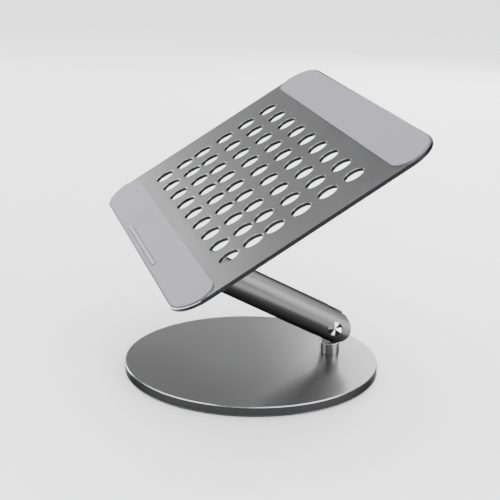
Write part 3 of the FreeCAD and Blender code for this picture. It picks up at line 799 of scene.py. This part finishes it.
def pocketed_plate(outline, holes, pockets, bottom, top, recess):
    """A plate with round holes and shallow pockets in its top, and its outer, hole and pocket rims."""
    bm = bmesh.new()
    around = loop_edges(bm, outline)
    rounds = ring_edges(bm, holes, steps=56)
    sunk = [loop_edges(bm, pocket) for pocket in pockets]
    rims = {}
    for edge in around + rounds:
        for vert in edge.verts:
            rims[corner_key(vert)] = edge in around
    bordering = around + rounds + [edge for loop in sunk for edge in loop]
    bmesh.ops.triangle_fill(bm, use_beauty=True, use_dissolve=False, edges=bordering, normal=(0, 0, 1))
    for loop in sunk:
        filled = bmesh.ops.triangle_fill(bm, use_beauty=True, use_dissolve=False, edges=loop,
                                         normal=(0, 0, 1))
        for item in filled["geom"]:
            if isinstance(item, bmesh.types.BMFace):
                item.material_index = 1
    bmesh.ops.translate(bm, verts=bm.verts, vec=(0, 0, bottom))
    extruded(bm, bm.faces[:], top - bottom, use_keep_orig=True)
    floors = [face for face in bm.faces
              if face.material_index == 1 and face.verts[0].co.z > top - SAME_PLACE]
    extruded(bm, floors, -recess)
    bmesh.ops.recalc_face_normals(bm, faces=bm.faces)
    # Every side wall of the plate, its holes and its pockets takes the dark wall metal: painted shade.
    for face in bm.faces:
        face.material_index = WALL_SHADE_FACE if abs(face.normal.z) < 0.5 else 0
    outer = []
    inner = []
    brims = []
    for edge in sharp_edges(bm):
        marks = [rims.get(corner_key(vert)) for vert in edge.verts]
        if abs(edge.verts[0].co.z - edge.verts[1].co.z) > SAME_PLACE:
            continue
        if None not in marks:
            (outer if all(marks) else inner).append(edge)
        elif edge.verts[0].co.z > top - SAME_PLACE:
            brims.append(edge)
    return bm, outer, inner, brims


class LAPTOPSTAND_OT_tray(Operator):
    """Build the perforated tray with its cut edges and the pads' shallow recesses"""
    bl_idname = "laptopstand.tray"
    bl_label = "Tray"

    def execute(self, context):
        sizes = context.scene.stand_sizes
        half = sizes.tray_depth / 2
        corner = sizes.tray_corner
        outline = plate_outline(TRAY_HIGH.x, -half, half, corner, corner, steps=28)
        holes = [(x, y, sizes.hole_diameter / 2) for x, y in hole_places(sizes)]
        play = 0.1 * MM
        pockets = [pad_outline(sizes, is_front, play) for is_front in (True, False)]
        bm, outer, inner, brims = pocketed_plate(outline, holes, pockets, -sizes.tray_thickness, 0,
                                                 sizes.pad_recess)
        brim_cut = 0.4 * MM
        round_edges(bm, inner, sizes.hole_edge, segments=2, material=EDGE_FACE)
        round_edges(bm, outer, sizes.tray_edge, segments=2, material=EDGE_FACE)
        round_edges(bm, brims, brim_cut, segments=1, material=CUT_AND_HIGHLIGHT_FACE)
        # At the tray's ends and sides the outer chamfer is coloured by the way it faces: faces at the front that
        # face the user get the bright metal as a painted highlight, all others get the dark wall metal as painted
        # shade.
        for face in bm.faces:
            middle = face.calc_center_median()
            near_end = abs(middle.y) > half - corner
            near_side = abs(middle.x) > TRAY_HIGH.x - sizes.tray_edge
            if face.material_index == EDGE_FACE and (near_end or near_side):
                at_front = middle.y < -half + corner
                faces_user = face.normal.y < -0.2 and face.normal.z > 0
                face.material_index = CUT_AND_HIGHLIGHT_FACE if at_front and faces_user else WALL_SHADE_FACE
        finish_piece("tray_plate", bm, tray_place(), ["tray", "edge", "wall", "trim_and_highlight"], "tray",
                     "satin_tray", "tray")
        return {"FINISHED"}


class LAPTOPSTAND_OT_pads(Operator):
    """Build the two silicone pads with soft moulded edges"""
    bl_idname = "laptopstand.pads"
    bl_label = "Pads"

    def execute(self, context):
        sizes = context.scene.stand_sizes
        for name, is_front in (("front_pad", True), ("rear_pad", False)):
            bm = pierced_plate(pad_outline(sizes, is_front), [], -sizes.pad_recess, sizes.pad_height)
            top_edges = [edge for edge in sharp_edges(bm)
                         if min(vert.co.z for vert in edge.verts) > sizes.pad_height - SAME_PLACE]
            moulded_edge = 0.45 * MM
            round_edges(bm, top_edges, moulded_edge, segments=4)
            finish_piece(name + "_sheet", bm, tray_place(), ["silicone"], "tray", "grey_silicone",
                         name)
        return {"FINISHED"}


class LAPTOPSTAND_OT_grip_strip(Operator):
    """Build the ribbed lip that keeps a laptop from sliding down"""
    bl_idname = "laptopstand.grip_strip"
    bl_label = "Ribbed Lip"

    def execute(self, context):
        sizes = context.scene.stand_sizes
        half = sizes.grip_width / 2
        from_pad_edge = 4.5 * MM
        middle = -sizes.tray_depth / 2 + sizes.pad_margin + from_pad_edge
        bottom = sizes.pad_height
        top = sizes.pad_height + 0.7 * MM
        root_height = 0.2 * MM
        spine_drop = 0.1 * MM
        spine_width = 0.2 * sizes.grip_width
        rib_width = 0.8 * sizes.grip_width
        rib_share = 0.45
        spine_ease, rib_ease = 0.15 * MM, 0.22 * MM
        root = pierced_plate(
            plate_outline(sizes.grip_length / 2, middle - half, middle + half, half, half, steps=12),
            [], bottom, bottom + root_height)
        # The root between the ribs takes the dark silicone: painted shade between the ribs.
        for face in root.faces:
            face.material_index = 1
        spine_length = sizes.grip_length - sizes.grip_width
        spine = block((spine_length, spine_width, top - bottom - spine_drop),
                      (0, middle, (top + bottom - spine_drop) / 2))
        round_edges(spine, spine.edges[:], spine_ease, segments=2)
        shapes = [root, spine]
        ribs = sizes.grip_ribs
        pitch = spine_length / (ribs - 1)
        for index in range(ribs):
            x = (index - (ribs - 1) / 2) * pitch
            rib = block((pitch * rib_share, rib_width, top - bottom), (x, middle, (top + bottom) / 2))
            round_edges(rib, rib.edges[:], rib_ease, segments=2)
            shapes.append(rib)
        finish_piece("grip_lip", joined(*shapes), tray_place(), ["lip", "groove_shade"], "tray",
                     "grip_silicone", "grip_strip")
        return {"FINISHED"}


class LAPTOPSTAND_OT_tray_bracket(Operator):
    """Build the bracket under the tray, with the lug that the arm's upper fork takes"""
    bl_idname = "laptopstand.tray_bracket"
    bl_label = "Tray Bracket"

    def execute(self, context):
        sizes = context.scene.stand_sizes
        depth_at, height_at = hinge_in_tray()
        half_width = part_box("tray_bracket")[1].x
        front, rear = -17 * MM, 16 * MM
        corner = 5 * MM
        screw_inset = 6.5 * MM
        screw_seat = 3 * MM
        rooted = 1 * MM
        top = -sizes.tray_thickness
        bottom = top - 3 * MM
        screws = []
        for x in (-1, 1):
            for y in (front + screw_inset, rear - screw_inset):
                screws.append((x * (half_width - screw_inset), depth_at + y, screw_seat))
        plate = pierced_plate(
            plate_outline(half_width, depth_at + front, depth_at + rear, corner, corner), screws,
            bottom, top)
        round_edges(plate, sharp_edges(plate), TONGUE_EASE, segments=2)
        lug = tongue_shape(bottom + rooted - height_at, sizes.tongue_thickness, sizes.tongue_radius)
        bmesh.ops.translate(lug, verts=lug.verts, vec=(0, depth_at, height_at))
        finish_piece("bracket_with_lug", joined(plate, lug), tray_place(), ["bracket"], "tray",
                     "satin_bracket", "tray_bracket")
        return {"FINISHED"}


class LAPTOPSTAND_OT_hardware(Operator):
    """Give the bearing, fasteners, washers and springs their finishes"""
    bl_idname = "laptopstand.hardware"
    bl_label = "Hardware"

    FINISHES = {
        "steel": ("foot_plate", "swivel_screw", "counterweight_screws", "post_screw", "bracket_screws",
                  "hinge_pin", "hinge_nut", "race", "swivel_balls"),
        "iron": ("counterweight",),
        "bronze": ("bush", "friction_washers"),
        "brass": ("ball_cage",),
        "glide": ("glide_ring",),
        "spring": ("disc_springs",),
    }

    def execute(self, context):
        for name, node in frame["nodes"].items():
            for finish, endings in self.FINISHES.items():
                if name.endswith(endings):
                    node.data.materials.clear()
                    node.data.materials.append(MATERIALS[finish])
        return {"FINISHED"}


# ---- stage ----
def soft_panel(name, place, target, size, power):
    """A rectangular light at place that faces target; it is left out of what the camera sees."""
    light = bpy.data.lights.new(name, "AREA")
    light.shape = "RECTANGLE"
    light.size, light.size_y = size
    light.energy = power
    holder = bpy.data.objects.new(name, light)
    holder.location = place
    aim = Vector(target) - Vector(place)
    holder.rotation_euler = aim.to_track_quat("-Z", "Y").to_euler()
    holder.visible_camera = False
    bpy.context.scene.collection.objects.link(holder)


class LAPTOPSTAND_OT_stage(Operator):
    """Build the floor, the soft lights and the camera"""
    bl_idname = "laptopstand.stage"
    bl_label = "Stage"

    def execute(self, context):
        settings = context.scene.stand_stage
        bm = bmesh.new()
        floor_reach = 24.0
        bmesh.ops.create_grid(bm, x_segments=8, y_segments=8, size=floor_reach)
        floor = mesh_object("floor", bm)
        material, tree, shader, place = node_tree("floor_paint")
        tone = noise(tree, place, scale=1.5, detail=3.0)
        paint = tinted(tree, tone, settings.floor_colour, change=0.01)
        tree.links.new(paint, shader.inputs["Base Color"])
        shader.inputs["Roughness"].default_value = 0.55
        floor.data.materials.append(material)

        world = bpy.data.worlds.new("studio")
        world.use_nodes = True
        sky = world.node_tree.nodes["Background"]
        sky.inputs["Color"].default_value = (0.97, 0.98, 1.0, 1)
        sky.inputs["Strength"].default_value = 0.3
        context.scene.world = world

        soft_panel("ceiling_panel", (0, 0, 4.0), target=(0, 0, 0), size=(10.0, 10.0), power=1250)
        centre = (0, 0, 0.1)
        for name, place, size, power in (
                ("tray_panel", (-1.5, -0.62, 0.45), (0.7, 0.55), 9),
                ("base_panel", (-1.33, 0.76, 0.47), (0.5, 0.32), 9),
                ("gloss_panel", (-1.4, 0.12, 0.42), (0.5, 0.3), 0.45),
                ("arm_panel", (0.8, 0.95, 0.42), (0.9, 0.95), 11),
                ("left_panel", (0.2, -1.4, 0.3), (0.8, 0.5), 5)):
            soft_panel(name, place, centre, size, power)

        camera = bpy.data.objects.new("camera", bpy.data.cameras.new("camera"))
        camera.data.lens = settings.camera_lens
        camera.data.sensor_width = 36
        camera.data.clip_start = 0.01
        camera.matrix_world = (
            Matrix.Translation(settings.camera_place)
            @ Matrix.Rotation(settings.camera_turn, 4, "Z")
            @ Matrix.Rotation(math.pi / 2 - settings.camera_dip, 4, "X")
            @ Matrix.Rotation(settings.camera_roll, 4, "Z")
        )
        context.scene.collection.objects.link(camera)
        context.scene.camera = camera
        return {"FINISHED"}


OPERATORS = (
    LAPTOPSTAND_OT_stage,
    LAPTOPSTAND_OT_base_disc,
    LAPTOPSTAND_OT_foot_pad,
    LAPTOPSTAND_OT_post,
    LAPTOPSTAND_OT_arm,
    LAPTOPSTAND_OT_hinge_caps,
    LAPTOPSTAND_OT_tray,
    LAPTOPSTAND_OT_pads,
    LAPTOPSTAND_OT_grip_strip,
    LAPTOPSTAND_OT_tray_bracket,
    LAPTOPSTAND_OT_hardware,
)


class LAPTOPSTAND_PT_panel(Panel):
    """Lists the stand's pieces and its stage"""
    bl_idname = "LAPTOPSTAND_PT_panel"
    bl_label = "Laptop Stand"
    bl_space_type = "VIEW_3D"
    bl_region_type = "UI"
    bl_category = "Laptop Stand"

    def draw(self, context):
        for operator in OPERATORS:
            self.layout.operator(operator.bl_idname)
        for settings in ("stand_sizes", "stand_finishes", "stand_stage"):
            group = getattr(context.scene, settings)
            box = self.layout.box()
            for name in group.__annotations__:
                box.prop(group, name)


GROUPS = {"stand_sizes": StandSizes, "stand_finishes": StandFinishes, "stand_stage": StageSettings}


def register():
    for group in GROUPS.values():
        bpy.utils.register_class(group)
    for name, group in GROUPS.items():
        setattr(bpy.types.Scene, name, PointerProperty(type=group))
    for operator in OPERATORS:
        bpy.utils.register_class(operator)
    bpy.utils.register_class(LAPTOPSTAND_PT_panel)


def unregister():
    bpy.utils.unregister_class(LAPTOPSTAND_PT_panel)
    for operator in reversed(OPERATORS):
        bpy.utils.unregister_class(operator)
    for name in GROUPS:
        delattr(bpy.types.Scene, name)
    for group in reversed(GROUPS.values()):
        bpy.utils.unregister_class(group)


def main():
    register()
    make_materials()
    for operator in OPERATORS:
        getattr(bpy.ops.laptopstand, operator.bl_idname.split(".")[1])()


if __name__ == "__main__":
    main()
